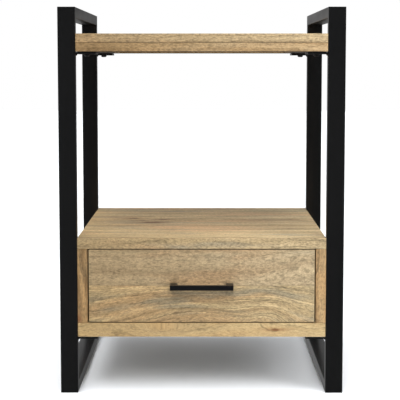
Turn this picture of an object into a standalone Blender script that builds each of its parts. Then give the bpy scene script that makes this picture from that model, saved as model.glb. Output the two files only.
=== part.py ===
"""Side table with one drawer.

Two closed side frames of black rectangular steel tube carry a thick wooden top and a wooden
cabinet between them. The drawer runs in the cabinet on a pair of telescopic ball-bearing slides.

Metres, +Z up. The front faces -Y. The origin is on the floor, at the middle of the bounding box,
which the handle makes deeper than the side frames. Touching pieces keep GAP between them.
"""

import math

import bmesh
import bpy
from mathutils import Vector

# Whole table
WIDTH = 0.508
DEPTH = 0.506
HEIGHT = 0.691
GAP = 0.0003

# Steel tube of the side frames: TUBE_FACE is the side seen from the front
TUBE_FACE = 0.031
TUBE_EDGE = 0.019
TUBE_WALL = 0.0015
TUBE_ROUND = 0.0018

# Bar handle: a bar held away from the drawer front by a leg at each end, a little above its middle
HANDLE_WIDTH = 0.1128
HANDLE_HEIGHT = 0.0089
HANDLE_REACH = 0.0285
HANDLE_BAR = 0.0088
HANDLE_LEG = 0.0129
HANDLE_ROUND = 0.0006
HANDLE_LIFT = 0.0006

# Wooden boards
WOOD_SETBACK = 0.0005
WOOD_CHAMFER = 0.0006
TABLETOP_UNDERSIDE = 0.6123
TABLETOP_LAYER = 0.0160
LIPPING_WIDTH = 0.050
CABINET_UNDERSIDE = 0.1022
CABINET_HEIGHT = 0.1793
CABINET_TOP_BOARD = 0.0196
CABINET_BOTTOM_BOARD = 0.0255
CABINET_SIDE_BOARD = 0.0183
CABINET_BACK_BOARD = 0.0120

# Drawer
REVEAL_X = 0.0020
REVEAL_Z = 0.0016
DRAWER_FRONT_BOARD = 0.0180
DRAWER_BOX_BOARD = 0.0120
DRAWER_BOX_HEIGHT = 0.1000
DRAWER_BOX_LENGTH = 0.4550
DRAWER_BOX_LIFT = 0.0140
DRAWER_BOTTOM_BOARD = 0.0060
DRAWER_BOTTOM_LIFT = 0.0100
GROOVE_DEPTH = 0.0060

# Welded fixing plates and their button-head bolts. A head's upright rim is HEAD_RIM of its height,
# and a shank's lead-in is SHANK_TIP of its radius, on every fastener
PLATE_REACH = 0.0360
PLATE_LENGTH = 0.0600
PLATE_THICKNESS = 0.0040
PLATE_INSET = 0.0040
BOLT_OFF_FRAME = 0.0172
BOLT_OFF_PLATE_END = 0.0180
BOLT_RADIUS = 0.0030
BOLT_HEAD_RADIUS = 0.0056
BOLT_HEAD_HEIGHT = 0.0033
BOLT_GRIP = 0.0160
HEAD_RIM = 0.3
SHANK_TIP = 0.35

# Telescopic slides
SLIDE_LENGTH = 0.4500
SLIDE_THICKNESS = 0.0127
SLIDE_SETBACK = 0.0040
SLIDE_SHEET = 0.0012
SLIDE_OUTER_HEIGHT = 0.0457
SLIDE_BALL = 0.0026
SLIDE_MOUTH = 0.0015
SLIDE_CENTRE_ABOVE_BOX = 0.0500
DRAWER_TRAVEL = 0.4400

# Wood screws of the slides, machine screws of the handle
SLIDE_SCREW_RADIUS = 0.0017
SLIDE_SCREW_HEAD = 0.0034
SLIDE_SCREW_HEAD_HEIGHT = 0.0013
SLIDE_SCREW_GRIP = 0.0100
SLIDE_SCREW_INSET = 0.0350
HANDLE_SCREW_RADIUS = 0.0020
HANDLE_SCREW_HEAD = 0.0040
HANDLE_SCREW_HEAD_HEIGHT = 0.0024
HANDLE_SCREW_BITE = 0.0080
TURN_STEPS = 20

# Planes that follow from the sizes above
HANDLE_PROUD = HANDLE_REACH - WOOD_SETBACK
FRONT_Y = (HANDLE_PROUD - DEPTH) / 2
BACK_Y = FRONT_Y + DEPTH
FRAME_INNER_X = WIDTH / 2 - TUBE_FACE
WOOD_X = FRAME_INNER_X - GAP
WOOD_FRONT_Y = FRONT_Y + WOOD_SETBACK
WOOD_BACK_Y = BACK_Y - WOOD_SETBACK
TABLETOP_TOP = TABLETOP_UNDERSIDE + 2 * TABLETOP_LAYER
CABINET_TOP = CABINET_UNDERSIDE + CABINET_HEIGHT
OPENING_TOP = CABINET_TOP - CABINET_TOP_BOARD
OPENING_BOTTOM = CABINET_UNDERSIDE + CABINET_BOTTOM_BOARD
OPENING_X = WOOD_X - CABINET_SIDE_BOARD
DRAWER_X = OPENING_X - SLIDE_THICKNESS
DRAWER_FRONT_X = OPENING_X - REVEAL_X
DRAWER_FRONT_TOP = OPENING_TOP - REVEAL_Z
DRAWER_FRONT_BOTTOM = OPENING_BOTTOM + REVEAL_Z
DRAWER_FRONT_BACK_Y = WOOD_FRONT_Y + DRAWER_FRONT_BOARD
BOX_FRONT_Y = DRAWER_FRONT_BACK_Y + GAP
BOX_BACK_Y = BOX_FRONT_Y + DRAWER_BOX_LENGTH
BOX_BOTTOM = OPENING_BOTTOM + DRAWER_BOX_LIFT
BOX_TOP = BOX_BOTTOM + DRAWER_BOX_HEIGHT
HANDLE_Z = (DRAWER_FRONT_TOP + DRAWER_FRONT_BOTTOM) / 2 + HANDLE_LIFT
HANDLE_SCREW_X = HANDLE_WIDTH / 2 - HANDLE_LEG / 2
SLIDE_Z = BOX_BOTTOM + SLIDE_CENTRE_ABOVE_BOX
SLIDE_FRONT_Y = BOX_FRONT_Y + SLIDE_SETBACK
SLIDE_BACK_Y = SLIDE_FRONT_Y + SLIDE_LENGTH

SHARP_ANGLE = math.radians(40)
SIDES = (("left", -1), ("right", 1))
ENDS = (("front", -1), ("back", 1))

# Colour, roughness and metallic value of each finish
FINISHES = {
    "powder_coat": ((0.012, 0.012, 0.013), 0.38, 0.0),
    "mango_top": ((0.47, 0.35, 0.20), 0.55, 0.0),
    "mango_case": ((0.46, 0.34, 0.19), 0.55, 0.0),
    "mango_drawer": ((0.43, 0.31, 0.18), 0.55, 0.0),
    "drawer_box": ((0.58, 0.46, 0.29), 0.60, 0.0),
    "plywood": ((0.60, 0.47, 0.30), 0.65, 0.0),
    "handle_black": ((0.011, 0.012, 0.014), 0.35, 0.0),
    "black_oxide": ((0.020, 0.020, 0.021), 0.45, 0.6),
    "zinc": ((0.62, 0.63, 0.65), 0.32, 1.0),
}


def clear_scene():
    for found in list(bpy.data.objects):
        bpy.data.objects.remove(found, do_unlink=True)


def new_collection(name):
    made = bpy.data.collections.new(name)
    bpy.context.scene.collection.children.link(made)
    return made


clear_scene()
PARTS = new_collection("side_table_with_drawer")
CUTTERS = new_collection("cutters")


def material_for(name, finish):
    """A material of the piece's own, in one of the table's finishes."""
    colour, roughness, metallic = FINISHES[finish]
    made = bpy.data.materials.new(name + "_finish")
    made.use_nodes = True
    shader = made.node_tree.nodes["Principled BSDF"]
    shader.inputs["Base Color"].default_value = (*colour, 1.0)
    shader.inputs["Roughness"].default_value = roughness
    shader.inputs["Metallic"].default_value = metallic
    made.diffuse_color = (*colour, 1.0)
    return made


def origin_of(thing):
    """World position of an object's origin; parents here are only ever moved, not turned."""
    place = Vector(thing.location)
    if thing.parent:
        place += origin_of(thing.parent)
    return place


def add_piece(name, mesh, finish, origin, parent=None):
    """Links a mesh as a named piece, with its origin at a world position."""
    piece = bpy.data.objects.new(name, mesh)
    PARTS.objects.link(piece)
    piece.parent = parent
    piece.location = Vector(origin) - (origin_of(parent) if parent else Vector())
    if not mesh.materials:
        mesh.materials.append(None)
    piece.material_slots[0].link = "OBJECT"
    piece.material_slots[0].material = material_for(name, finish)
    return piece


def add_runner(name, origin, travel):
    """An empty that carries all that slides together, from its closed place to travel forward of it."""
    runner = bpy.data.objects.new(name, None)
    runner.location = origin
    PARTS.objects.link(runner)
    stops = runner.constraints.new("LIMIT_LOCATION")
    stops.use_min_y = True
    stops.use_max_y = True
    stops.min_y = origin[1] - travel
    stops.max_y = origin[1]
    return runner


def box_mesh(name, size):
    """A box about its own middle."""
    bm = bmesh.new()
    bmesh.ops.create_cube(bm, size=1.0)
    bmesh.ops.scale(bm, vec=size, verts=bm.verts)
    mesh = bpy.data.meshes.new(name)
    bm.to_mesh(mesh)
    bm.free()
    return mesh


def add_bevel(piece, width, segments):
    bevel = piece.modifiers.new("edges", "BEVEL")
    bevel.width = width
    bevel.segments = segments
    bevel.limit_method = "ANGLE"
    return bevel


def add_board(name, low, high, finish, parent=None, chamfer=WOOD_CHAMFER):
    """A sharp-edged board or plate between two corners, with its arrises just taken off."""
    low = Vector(low)
    high = Vector(high)
    board = add_piece(name, box_mesh(name, high - low), finish, (low + high) / 2, parent)
    add_bevel(board, chamfer, 1)
    return board


def cut_with(piece, mesh, centre, turn=(0, 0, 0)):
    """Takes a cutter's shape out of a piece. The cutter is the piece's child, so both move as one."""
    cutter = bpy.data.objects.new(piece.name + "_cutter", mesh)
    CUTTERS.objects.link(cutter)
    cutter.parent = piece
    cutter.location = Vector(centre) - origin_of(piece)
    cutter.rotation_euler = turn
    cutter.display_type = "WIRE"
    cutter.hide_render = True
    cut = piece.modifiers.new("cut", "BOOLEAN")
    cut.operation = "DIFFERENCE"
    cut.solver = "EXACT"
    cut.object = cutter


def cut_box(piece, low, high):
    low = Vector(low)
    high = Vector(high)
    cut_with(piece, box_mesh(piece.name + "_cut", high - low), (low + high) / 2)


ALONG_X = (0, math.pi / 2, 0)
ALONG_Y = (math.pi / 2, 0, 0)
ALONG_Z = (0, 0, 0)


def drill(piece, centre, radius, length, turn):
    """A round hole, of a radius that leaves GAP around what goes through it."""
    bm = bmesh.new()
    bmesh.ops.create_cone(
        bm, cap_ends=True, segments=TURN_STEPS, radius1=radius + GAP, radius2=radius + GAP, depth=length
    )
    mesh = bpy.data.meshes.new(piece.name + "_drill")
    bm.to_mesh(mesh)
    bm.free()
    cut_with(piece, mesh, centre, turn)


def profile_mesh(name, points):
    """A polyline of (radius, height) points in the XZ plane, ready to be turned about Z."""
    bm = bmesh.new()
    verts = [bm.verts.new((radius, 0, height)) for radius, height in points]
    for first, second in zip(verts, verts[1:]):
        bm.edges.new((first, second))
    mesh = bpy.data.meshes.new(name)
    bm.to_mesh(mesh)
    bm.free()
    return mesh


def fastener_profile(radius, head_radius, head_height, grip):
    """A domed head above Z = 0 and a plain shank below it, with a short lead-in at its tip."""
    dome_steps = 4
    rim = head_height * HEAD_RIM
    dome = [
        (
            head_radius * math.sin(step / dome_steps * math.pi / 2),
            rim + (head_height - rim) * math.cos(step / dome_steps * math.pi / 2),
        )
        for step in range(dome_steps + 1)
    ]
    tip = radius * SHANK_TIP
    shank = [(head_radius, 0), (radius, 0), (radius, tip - grip), (radius - tip, -grip), (0, -grip)]
    return dome + shank


def add_fastener(name, mesh, finish, point, turn, parent=None):
    """A turned fastener whose head's underside is at the point."""
    fastener = add_piece(name, mesh, finish, point, parent)
    fastener.rotation_euler = turn
    screw = fastener.modifiers.new("turned", "SCREW")
    screw.steps = TURN_STEPS
    screw.render_steps = TURN_STEPS
    screw.use_merge_vertices = True
    screw.merge_threshold = 0.00001
    screw.use_smooth_shade = True
    return fastener


def tube_mesh(name, length):
    """A rectangular tube along Z, mitred at both ends; its +Y side is the outside of the frame."""
    bm = bmesh.new()
    bmesh.ops.create_cube(bm, size=1.0)
    bmesh.ops.scale(bm, vec=(TUBE_FACE, TUBE_EDGE, length), verts=bm.verts)
    arrises = [edge for edge in bm.edges if abs(edge.verts[0].co.z - edge.verts[1].co.z) > length / 2]
    bmesh.ops.bevel(bm, geom=arrises, offset=TUBE_ROUND, segments=3, profile=0.5, affect="EDGES")
    bm.normal_update()
    caps = [face for face in bm.faces if abs(face.normal.z) > 0.5]
    bmesh.ops.delete(bm, geom=caps, context="FACES_ONLY")
    bmesh.ops.solidify(bm, geom=bm.faces[:], thickness=TUBE_WALL)
    half = length / 2
    mitre_gap = GAP / math.sqrt(2)
    for vert in bm.verts:
        from_outside = TUBE_EDGE / 2 - vert.co.y
        vert.co.z *= (half - mitre_gap - from_outside) / half
    bmesh.ops.recalc_face_normals(bm, faces=bm.faces)
    mesh = bpy.data.meshes.new(name)
    bm.to_mesh(mesh)
    bm.free()
    mesh.shade_smooth()
    mesh.set_sharp_from_angle(angle=SHARP_ANGLE)
    return mesh


def make_side_frames():
    """Each side frame is a post at either end of a top and a bottom rail, joined at mitres."""
    post = tube_mesh("post", HEIGHT)
    rail = tube_mesh("rail", DEPTH)
    middle_y = (FRONT_Y + BACK_Y) / 2
    for side, sign in SIDES:
        x = sign * (WIDTH - TUBE_FACE) / 2
        tubes = (
            ("front_post", post, (x, FRONT_Y + TUBE_EDGE / 2, HEIGHT / 2), (0, 0, math.pi)),
            ("back_post", post, (x, BACK_Y - TUBE_EDGE / 2, HEIGHT / 2), (0, 0, 0)),
            ("top_rail", rail, (x, middle_y, HEIGHT - TUBE_EDGE / 2), (math.pi / 2, 0, 0)),
            ("bottom_rail", rail, (x, middle_y, TUBE_EDGE / 2), (-math.pi / 2, 0, 0)),
        )
        for tube, mesh, origin, turn in tubes:
            piece = add_piece(f"{side}_{tube}", mesh, "powder_coat", origin)
            piece.rotation_euler = turn


def bolt_place(sign_x, sign_y):
    """Where a fixing bolt stands in plan."""
    off_frame_end = PLATE_INSET + PLATE_LENGTH - BOLT_OFF_PLATE_END
    y = FRONT_Y + off_frame_end if sign_y < 0 else BACK_Y - off_frame_end
    return sign_x * (FRAME_INNER_X - BOLT_OFF_FRAME), y


def make_fixings(level, prefix):
    """Four plates under a wooden part, each welded to a post, with a bolt up through each."""
    plate_top = level - GAP
    plate_bottom = plate_top - PLATE_THICKNESS
    bolt = profile_mesh(
        prefix + "_bolt", fastener_profile(BOLT_RADIUS, BOLT_HEAD_RADIUS, BOLT_HEAD_HEIGHT, BOLT_GRIP)
    )
    for side, sign_x in SIDES:
        for end, sign_y in ENDS:
            near_x = sign_x * (FRAME_INNER_X - GAP)
            far_x = sign_x * (FRAME_INNER_X - PLATE_REACH)
            start_y = FRONT_Y + PLATE_INSET if sign_y < 0 else BACK_Y - PLATE_INSET - PLATE_LENGTH
            low = (min(near_x, far_x), start_y, plate_bottom)
            high = (max(near_x, far_x), start_y + PLATE_LENGTH, plate_top)
            plate = add_board(f"{prefix}_plate_{side}_{end}", low, high, "powder_coat")
            x, y = bolt_place(sign_x, sign_y)
            drill(plate, (x, y, plate_top), BOLT_RADIUS, 4 * PLATE_THICKNESS, ALONG_Z)
            head = (x, y, plate_bottom - GAP)
            add_fastener(f"{prefix}_bolt_{side}_{end}", bolt, "black_oxide", head, (math.pi, 0, 0))


def drill_for_bolts(board, level, ends=ENDS):
    """Blind holes up into a board from its underside, one over each fixing plate."""
    for _, sign_x in SIDES:
        for _, sign_y in ends:
            x, y = bolt_place(sign_x, sign_y)
            drill(board, (x, y, level), BOLT_RADIUS, 2 * (BOLT_GRIP - PLATE_THICKNESS + 2 * GAP), ALONG_Z)


def make_tabletop():
    """A panel thickened underneath by a lipping of the same wood on all four edges."""
    lipping_top = TABLETOP_UNDERSIDE + TABLETOP_LAYER - GAP
    add_board(
        "tabletop_panel",
        (-WOOD_X, WOOD_FRONT_Y, lipping_top + GAP),
        (WOOD_X, WOOD_BACK_Y, TABLETOP_TOP),
        "mango_top",
    )
    for end, sign in ENDS:
        y = WOOD_FRONT_Y if sign < 0 else WOOD_BACK_Y - LIPPING_WIDTH
        strip = add_board(
            f"tabletop_lipping_{end}",
            (-WOOD_X, y, TABLETOP_UNDERSIDE),
            (WOOD_X, y + LIPPING_WIDTH, lipping_top),
            "mango_top",
        )
        drill_for_bolts(strip, TABLETOP_UNDERSIDE, ((end, sign),))
    for side, sign in SIDES:
        x = WOOD_X - LIPPING_WIDTH if sign > 0 else -WOOD_X
        add_board(
            f"tabletop_lipping_{side}",
            (x, WOOD_FRONT_Y + LIPPING_WIDTH + GAP, TABLETOP_UNDERSIDE),
            (x + LIPPING_WIDTH, WOOD_BACK_Y - LIPPING_WIDTH - GAP, lipping_top),
            "mango_top",
        )


def slide_screw_ys():
    return SLIDE_FRONT_Y + SLIDE_SCREW_INSET, SLIDE_BACK_Y - SLIDE_SCREW_INSET


def make_cabinet():
    """Sides stand between a top and a bottom board, and the back board is let in between them."""
    add_board(
        "cabinet_top", (-WOOD_X, WOOD_FRONT_Y, OPENING_TOP), (WOOD_X, WOOD_BACK_Y, CABINET_TOP), "mango_case"
    )
    bottom = add_board(
        "cabinet_bottom",
        (-WOOD_X, WOOD_FRONT_Y, CABINET_UNDERSIDE),
        (WOOD_X, WOOD_BACK_Y, OPENING_BOTTOM),
        "mango_case",
    )
    drill_for_bolts(bottom, CABINET_UNDERSIDE)
    for side, sign in SIDES:
        x = OPENING_X if sign > 0 else -WOOD_X
        board = add_board(
            f"cabinet_side_{side}",
            (x, WOOD_FRONT_Y, OPENING_BOTTOM + GAP),
            (x + CABINET_SIDE_BOARD, WOOD_BACK_Y, OPENING_TOP - GAP),
            "mango_case",
        )
        for y in slide_screw_ys():
            drill(board, (sign * OPENING_X, y, SLIDE_Z), SLIDE_SCREW_RADIUS, 2 * SLIDE_SCREW_GRIP, ALONG_X)
    add_board(
        "cabinet_back",
        (-OPENING_X + GAP, WOOD_BACK_Y - CABINET_BACK_BOARD, OPENING_BOTTOM + GAP),
        (OPENING_X - GAP, WOOD_BACK_Y, OPENING_TOP - GAP),
        "plywood",
    )


def add_channel(name, web_x, open_x, height, parent=None):
    """A folded channel along the slide, its web at web_x and its two flanges reaching to open_x."""
    bm = bmesh.new()
    bmesh.ops.create_cube(bm, size=1.0)
    bmesh.ops.scale(bm, vec=(abs(open_x - web_x), SLIDE_LENGTH, height), verts=bm.verts)
    bm.normal_update()
    mouth = 1 if open_x > web_x else -1
    opened = [f for f in bm.faces if f.normal.x * mouth > 0.5 or abs(f.normal.y) > 0.5]
    bmesh.ops.delete(bm, geom=opened, context="FACES")
    mesh = bpy.data.meshes.new(name)
    bm.to_mesh(mesh)
    bm.free()
    origin = ((web_x + open_x) / 2, (SLIDE_FRONT_Y + SLIDE_BACK_Y) / 2, SLIDE_Z)
    channel = add_piece(name, mesh, "zinc", origin, parent)
    sheet = channel.modifiers.new("sheet", "SOLIDIFY")
    sheet.thickness = SLIDE_SHEET
    sheet.offset = -1.0
    sheet.use_even_offset = True
    return channel


def add_slide_screws(prefix, channel, plane_x, into, parent=None):
    """Two screws through a channel's web, whose inner face is at plane_x, going in towards +X or -X."""
    mesh = profile_mesh(
        prefix,
        fastener_profile(SLIDE_SCREW_RADIUS, SLIDE_SCREW_HEAD, SLIDE_SCREW_HEAD_HEIGHT, SLIDE_SCREW_GRIP),
    )
    turn = (0, -math.pi / 2, 0) if into > 0 else (0, math.pi / 2, 0)
    for (end, _), y in zip(ENDS, slide_screw_ys()):
        drill(channel, (plane_x, y, SLIDE_Z), SLIDE_SCREW_RADIUS, 4 * SLIDE_SHEET, ALONG_X)
        head = (plane_x - math.copysign(GAP, into), y, SLIDE_Z)
        add_fastener(f"{prefix}_{end}", mesh, "zinc", head, turn, parent)


def make_slides(drawer, middles):
    """Cabinet channel, middle channel and drawer channel, nested one inside the next."""
    middle_height = SLIDE_OUTER_HEIGHT - 2 * (SLIDE_SHEET + SLIDE_BALL)
    inner_height = middle_height - 2 * (SLIDE_SHEET + SLIDE_BALL)
    screw_room = SLIDE_SCREW_HEAD_HEIGHT + 3 * GAP
    for side, sign in SIDES:
        cabinet_web = sign * (OPENING_X - GAP)
        middle_web = sign * (OPENING_X - GAP - SLIDE_SHEET - screw_room)
        drawer_web = sign * (DRAWER_X + GAP)
        cabinet_mouth = drawer_web + sign * SLIDE_MOUTH
        middle_mouth = drawer_web + sign * (SLIDE_SHEET + 2 * GAP)
        drawer_mouth = middle_web - sign * (SLIDE_SHEET + 2 * GAP)
        cabinet = add_channel(f"{side}_slide_cabinet_channel", cabinet_web, cabinet_mouth, SLIDE_OUTER_HEIGHT)
        add_channel(f"{side}_slide_middle_channel", middle_web, middle_mouth, middle_height, middles[side])
        inner = add_channel(f"{side}_slide_drawer_channel", drawer_web, drawer_mouth, inner_height, drawer)
        cabinet_face = cabinet_web - sign * SLIDE_SHEET
        drawer_face = drawer_web + sign * SLIDE_SHEET
        add_slide_screws(f"{side}_cabinet_slide_screw", cabinet, cabinet_face, sign)
        add_slide_screws(f"{side}_drawer_slide_screw", inner, drawer_face, -sign, drawer)


def make_drawer(drawer):
    """An inset front, and behind it a box whose bottom is held in grooves."""
    groove_low = BOX_BOTTOM + DRAWER_BOTTOM_LIFT
    groove_high = groove_low + DRAWER_BOTTOM_BOARD + 2 * GAP
    inner_x = DRAWER_X - DRAWER_BOX_BOARD
    groove_x = inner_x + GROOVE_DEPTH
    back_y = BOX_BACK_Y - DRAWER_BOX_BOARD
    front = add_board(
        "drawer_front",
        (-DRAWER_FRONT_X, WOOD_FRONT_Y, DRAWER_FRONT_BOTTOM),
        (DRAWER_FRONT_X, DRAWER_FRONT_BACK_Y, DRAWER_FRONT_TOP),
        "mango_drawer",
        drawer,
    )
    cut_box(
        front,
        (-groove_x, DRAWER_FRONT_BACK_Y - GROOVE_DEPTH, groove_low),
        (groove_x, DRAWER_FRONT_BACK_Y + GROOVE_DEPTH, groove_high),
    )
    for _, sign in SIDES:
        hole = (sign * HANDLE_SCREW_X, WOOD_FRONT_Y, HANDLE_Z)
        drill(front, hole, HANDLE_SCREW_RADIUS, 4 * DRAWER_FRONT_BOARD, ALONG_Y)
    for side, sign in SIDES:
        x = inner_x if sign > 0 else -DRAWER_X
        board = add_board(
            f"drawer_side_{side}",
            (x, BOX_FRONT_Y, BOX_BOTTOM),
            (x + DRAWER_BOX_BOARD, BOX_BACK_Y, BOX_TOP),
            "drawer_box",
            drawer,
        )
        groove = sorted((sign * (inner_x - GROOVE_DEPTH), sign * groove_x))
        cut_box(
            board,
            (groove[0], BOX_FRONT_Y - GROOVE_DEPTH, groove_low),
            (groove[1], BOX_BACK_Y + GROOVE_DEPTH, groove_high),
        )
        for y in slide_screw_ys():
            drill(board, (sign * DRAWER_X, y, SLIDE_Z), SLIDE_SCREW_RADIUS, 2 * SLIDE_SCREW_GRIP, ALONG_X)
    add_board(
        "drawer_back",
        (-inner_x + GAP, back_y, groove_high),
        (inner_x - GAP, BOX_BACK_Y, BOX_TOP),
        "drawer_box",
        drawer,
    )
    add_board(
        "drawer_bottom",
        (-groove_x + GAP, DRAWER_FRONT_BACK_Y - GROOVE_DEPTH + GAP, groove_low + GAP),
        (groove_x - GAP, BOX_BACK_Y, groove_high - GAP),
        "plywood",
        drawer,
    )


def make_handle(drawer):
    """A square bar on two legs, cast in one, with a screw into each leg from inside the drawer."""
    front_y = WOOD_FRONT_Y - HANDLE_REACH
    foot_y = WOOD_FRONT_Y - GAP
    middle_y = (front_y + foot_y) / 2
    size = Vector((HANDLE_WIDTH, foot_y - front_y, HANDLE_HEIGHT))
    handle = add_piece("handle", box_mesh("handle", size), "handle_black", (0, middle_y, HANDLE_Z), drawer)
    finger_x = HANDLE_WIDTH / 2 - HANDLE_LEG
    cut_box(
        handle,
        (-finger_x, front_y + HANDLE_BAR, HANDLE_Z - HANDLE_HEIGHT),
        (finger_x, foot_y + HANDLE_BAR, HANDLE_Z + HANDLE_HEIGHT),
    )
    add_bevel(handle, HANDLE_ROUND, 2)
    head_y = DRAWER_FRONT_BACK_Y + GAP
    grip = DRAWER_FRONT_BOARD + 2 * GAP + HANDLE_SCREW_BITE
    screw = profile_mesh(
        "handle_screw",
        fastener_profile(HANDLE_SCREW_RADIUS, HANDLE_SCREW_HEAD, HANDLE_SCREW_HEAD_HEIGHT, grip),
    )
    for side, sign in SIDES:
        x = sign * HANDLE_SCREW_X
        drill(handle, (x, foot_y, HANDLE_Z), HANDLE_SCREW_RADIUS, 2 * (HANDLE_SCREW_BITE + 4 * GAP), ALONG_Y)
        turn = (-math.pi / 2, 0, 0)
        add_fastener(f"handle_screw_{side}", screw, "zinc", (x, head_y, HANDLE_Z), turn, drawer)


def make_table():
    drawer = add_runner("drawer_runner", (0, WOOD_FRONT_Y, HANDLE_Z), DRAWER_TRAVEL)
    middles = {}
    for side, sign in SIDES:
        place = (sign * DRAWER_X, SLIDE_FRONT_Y, SLIDE_Z)
        middles[side] = add_runner(f"{side}_middle_runner", place, DRAWER_TRAVEL / 2)
    make_side_frames()
    make_tabletop()
    make_fixings(TABLETOP_UNDERSIDE, "tabletop")
    make_cabinet()
    make_fixings(CABINET_UNDERSIDE, "cabinet")
    make_drawer(drawer)
    make_handle(drawer)
    make_slides(drawer, middles)


make_table()
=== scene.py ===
"""Looks of the side table with drawer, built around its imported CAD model.

Metres, +Z up, the table's front faces -Y. Pieces made here keep their object at the origin and
their place in the mesh, as the CAD nodes do, so that object coordinates are metres in the table's
own frame on every piece, and a pattern stays on its board when the drawer slides.
"""

import math

import bmesh
import bpy
from mathutils import Matrix, Vector


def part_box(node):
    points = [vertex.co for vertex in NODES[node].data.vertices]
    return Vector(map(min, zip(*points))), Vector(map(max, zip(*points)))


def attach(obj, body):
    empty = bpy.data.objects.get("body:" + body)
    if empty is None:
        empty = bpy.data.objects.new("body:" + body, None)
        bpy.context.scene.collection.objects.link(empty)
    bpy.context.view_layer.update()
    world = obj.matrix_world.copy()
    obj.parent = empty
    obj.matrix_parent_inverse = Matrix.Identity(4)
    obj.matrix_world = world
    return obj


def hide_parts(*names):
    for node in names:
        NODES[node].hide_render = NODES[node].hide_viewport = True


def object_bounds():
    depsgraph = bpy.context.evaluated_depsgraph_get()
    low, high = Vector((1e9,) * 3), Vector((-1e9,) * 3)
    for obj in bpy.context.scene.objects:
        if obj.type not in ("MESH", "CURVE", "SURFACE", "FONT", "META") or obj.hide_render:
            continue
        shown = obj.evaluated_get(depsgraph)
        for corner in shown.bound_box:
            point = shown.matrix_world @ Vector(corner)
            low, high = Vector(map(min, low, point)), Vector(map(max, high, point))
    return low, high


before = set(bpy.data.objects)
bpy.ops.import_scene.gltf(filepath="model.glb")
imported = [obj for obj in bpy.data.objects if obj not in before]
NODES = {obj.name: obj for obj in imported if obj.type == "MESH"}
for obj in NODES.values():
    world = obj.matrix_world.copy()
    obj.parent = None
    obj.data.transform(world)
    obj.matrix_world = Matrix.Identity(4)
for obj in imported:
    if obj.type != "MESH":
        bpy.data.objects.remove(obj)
CAD_LOW, CAD_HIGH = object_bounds()
SIDES = (("left", -1), ("right", 1))
ENDS = (("front", -1), ("back", 1))

POST_LOW, POST_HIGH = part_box("left_front_post")
FRONT_Y = POST_LOW.y
BACK_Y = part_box("left_back_post")[1].y
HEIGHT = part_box("left_top_rail")[1].z
TUBE_FACE = POST_HIGH.x - POST_LOW.x
TUBE_EDGE = POST_HIGH.y - POST_LOW.y


# ---------------------------------------------------------------- node graphs

class Nodes:
    """A node tree to draw in. An input can be a socket, a number or a tuple."""

    def __init__(self, tree):
        self.tree = tree

    def node(self, kind, **settings):
        made = self.tree.nodes.new(kind)
        for setting, value in settings.items():
            setattr(made, setting, value)
        return made

    def put(self, socket, value):
        if isinstance(value, bpy.types.NodeSocket):
            self.tree.links.new(value, socket)
        else:
            socket.default_value = value

    def math(self, operation, a, b=0.0, c=0.0):
        made = self.node("ShaderNodeMath", operation=operation)
        for socket, value in zip(made.inputs, (a, b, c)):
            self.put(socket, value)
        return made.outputs[0]

    def plus(self, a, b):
        return self.math("ADD", a, b)

    def minus(self, a, b):
        return self.math("SUBTRACT", a, b)

    def times(self, a, b):
        return self.math("MULTIPLY", a, b)

    def linear(self, value, slope, start):
        """Value times slope, plus start."""
        return self.math("MULTIPLY_ADD", value, slope, start)

    def vector(self, operation, a, b=(0, 0, 0)):
        made = self.node("ShaderNodeVectorMath", operation=operation)
        self.put(made.inputs[0], a)
        self.put(made.inputs[1], b)
        return made.outputs["Value" if operation == "LENGTH" else "Vector"]

    def split(self, vector):
        made = self.node("ShaderNodeSeparateXYZ")
        self.put(made.inputs[0], vector)
        return list(made.outputs)

    def join(self, x, y, z):
        made = self.node("ShaderNodeCombineXYZ")
        for socket, value in zip(made.inputs, (x, y, z)):
            self.put(socket, value)
        return made.outputs[0]

    def noise(self, vector, scale=1.0, detail=2.0, roughness=0.5, offset=None):
        """Noise about 0.5. After any offset, a vector is scaled by a number or per axis by a tuple."""
        if offset:
            vector = self.vector("ADD", vector, offset)
        made = self.node("ShaderNodeTexNoise")
        if isinstance(scale, tuple):
            vector = self.vector("MULTIPLY", vector, scale)
            scale = 1.0
        self.put(made.inputs["Vector"], vector)
        made.inputs["Scale"].default_value = scale
        made.inputs["Detail"].default_value = detail
        made.inputs["Roughness"].default_value = roughness
        return made.outputs[0]

    def line_noise(self, value, detail, roughness=0.5):
        """Noise about 0.5 along a line."""
        made = self.node("ShaderNodeTexNoise", noise_dimensions="1D")
        self.put(made.inputs["W"], value)
        made.inputs["Scale"].default_value = 1.0
        made.inputs["Detail"].default_value = detail
        made.inputs["Roughness"].default_value = roughness
        return made.outputs[0]

    def about_one(self, mark, strength):
        """A factor that follows a mark from 0 to 1: it is 1 half way and changes by strength in all."""
        return self.linear(mark, strength, 1.0 - 0.5 * strength)

    def step(self, value, low, high, to_low=0.0, to_high=1.0):
        """Smooth change from to_low to to_high while value goes from low to high."""
        made = self.node("ShaderNodeMapRange", interpolation_type="SMOOTHSTEP")
        for socket, number in zip(made.inputs, (value, low, high, to_low, to_high)):
            self.put(socket, number)
        return made.outputs[0]

    def mix(self, factor, a, b):
        """Colour a where the factor is 0, and colour b where it is 1."""
        made = self.node("ShaderNodeMix", data_type="RGBA", blend_type="MIX")
        self.put(made.inputs[0], factor)
        for socket, colour in ((made.inputs[6], a), (made.inputs[7], b)):
            self.put(socket, (*colour, 1.0) if isinstance(colour, tuple) else colour)
        return made.outputs[2]

    def brighten(self, colour, factor):
        """Colour times a number that varies over the surface."""
        return self.vector("MULTIPLY", colour, self.join(factor, factor, factor))


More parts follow.
